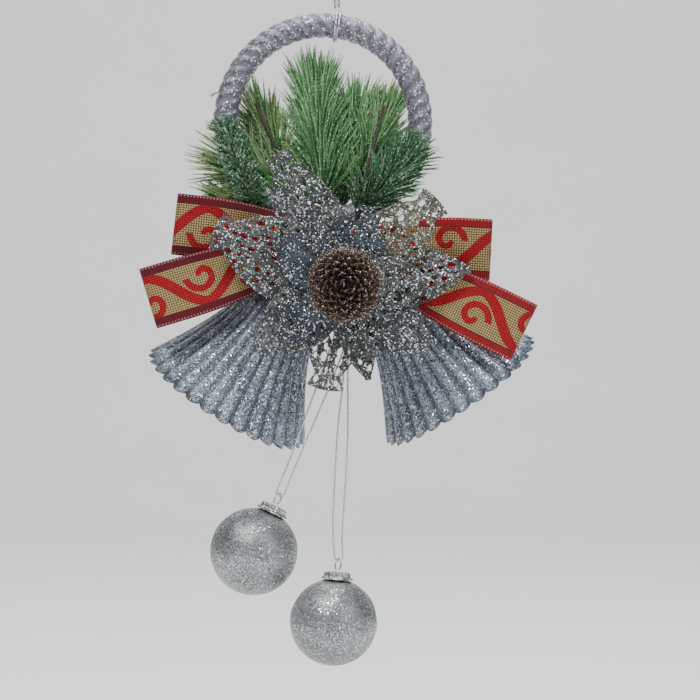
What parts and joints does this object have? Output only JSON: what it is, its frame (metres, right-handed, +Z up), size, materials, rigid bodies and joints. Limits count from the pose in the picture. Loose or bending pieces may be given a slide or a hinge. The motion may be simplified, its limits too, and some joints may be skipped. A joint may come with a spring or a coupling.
{
  "type": "christmas bell ornament",
  "caption": "Hanging Christmas ornament: rope hoop with pine sprigs, ribbon bow, open-work glitter flower with a cone, fluted bells, and balls on looped cords.",
  "frame": {"origin": "the point where a hook carries the hanger cord's loop", "axes": "+X to the right, +Y away from the viewer, +Z up"},
  "size_m": [0.1809, 0.1092, 0.3528],
  "materials": {
    "hanger_thread": "thin shiny lavender-grey thread",
    "hoop_silver": "pearly silver-lavender moulded rope pattern with sparse glitter",
    "binding_wire": "green florist's wire",
    "sprig_stem": "dark brown twisted wire",
    "pine_needles": "green film needles with tan tips and a little glitter",
    "ribbon": "gold metallic weave with red scrolls and dark red wired borders",
    "glitter_lace": "silver glitter on open-work petals",
    "calyx": "green moulded plastic",
    "pine_cone": "dark brown scales dusted with silver glitter",
    "bell_glitter": "fluted plastic with fine silver-blue glitter",
    "ball_glitter": "fine silver glitter",
    "cap_silver": "bright silver crown cap with glitter",
    "ring_wire": "thin steel wire",
    "ball_cord": "silver twisted metallic cord"
  },
  "bodies": {
    "hanger": {"hanger_cord": "hanger_thread"},
    "hitch": {"hanger_hitch": "hanger_thread"},
    "ornament": {"hoop": "hoop_silver", "binding_wire": "binding_wire", "bell_wire_left": "binding_wire", "bell_wire_right": "binding_wire", "flower_stem": "binding_wire", "sprig_stem_left": "sprig_stem", "sprig_stem_centre": "sprig_stem", "sprig_stem_right": "sprig_stem", "sprig_needles_left": "pine_needles", "sprig_needles_centre": "pine_needles", "sprig_needles_right": "pine_needles", "ribbon_loop_upper_left": "ribbon", "ribbon_loop_lower_left": "ribbon", "ribbon_loop_upper_right": "ribbon", "ribbon_loop_lower_right": "ribbon", "bow_knot": "ribbon", "petal_outer_1": "glitter_lace", "petal_outer_2": "glitter_lace", "petal_outer_3": "glitter_lace", "petal_outer_4": "glitter_lace", "petal_outer_5": "glitter_lace", "petal_outer_6": "glitter_lace", "petal_outer_7": "glitter_lace", "petal_outer_8": "glitter_lace", "petal_inner_1": "glitter_lace", "petal_inner_2": "glitter_lace", "petal_inner_3": "glitter_lace", "petal_inner_4": "glitter_lace", "petal_inner_5": "glitter_lace", "flower_calyx": "calyx", "pine_cone": "pine_cone", "bell_left": "bell_glitter", "bell_right": "bell_glitter"},
    "cord_left": {"ball_cord_left": "ball_cord"},
    "hanging_ball_left": {"ball_left": "ball_glitter", "ball_cap_left": "cap_silver", "ball_ring_left": "ring_wire"},
    "cord_right": {"ball_cord_right": "ball_cord"},
    "hanging_ball_right": {"ball_right": "ball_glitter", "ball_cap_right": "cap_silver", "ball_ring_right": "ring_wire"}
  },
  "joints": [
    {"name": "sideways_sway", "type": "hinge", "parent": "hanger", "child": "hitch", "pos_m": [0.001, 0, -0.05123], "axis": [0, 1, 0], "range_deg": [-30, 30]},
    {"name": "fore_aft_swing", "type": "hinge", "parent": "hitch", "child": "ornament", "pos_m": [0, 0, -0.05821], "axis": [0.9897, 0, -0.1433], "range_deg": [-60, 60]},
    {"name": "left_cord_swing", "type": "hinge", "parent": "ornament", "child": "cord_left", "pos_m": [0.0074, -0.0085, -0.18], "axis": [-1, 0, 0], "range_deg": [-3, 25]},
    {"name": "left_ball_tilt", "type": "hinge", "parent": "cord_left", "child": "hanging_ball_left", "pos_m": [-0.02587, -0.0085, -0.27256], "axis": [0, 1, 0], "range_deg": [-15, 40]},
    {"name": "right_cord_swing", "type": "hinge", "parent": "ornament", "child": "cord_right", "pos_m": [0.0049, -0.005, -0.18], "axis": [-1, 0, 0], "range_deg": [-30, 3]},
    {"name": "right_ball_tilt", "type": "hinge", "parent": "cord_right", "child": "hanging_ball_right", "pos_m": [0.00077, -0.005, -0.3026], "axis": [0, 1, 0], "range_deg": [-40, 15]}
  ]
}
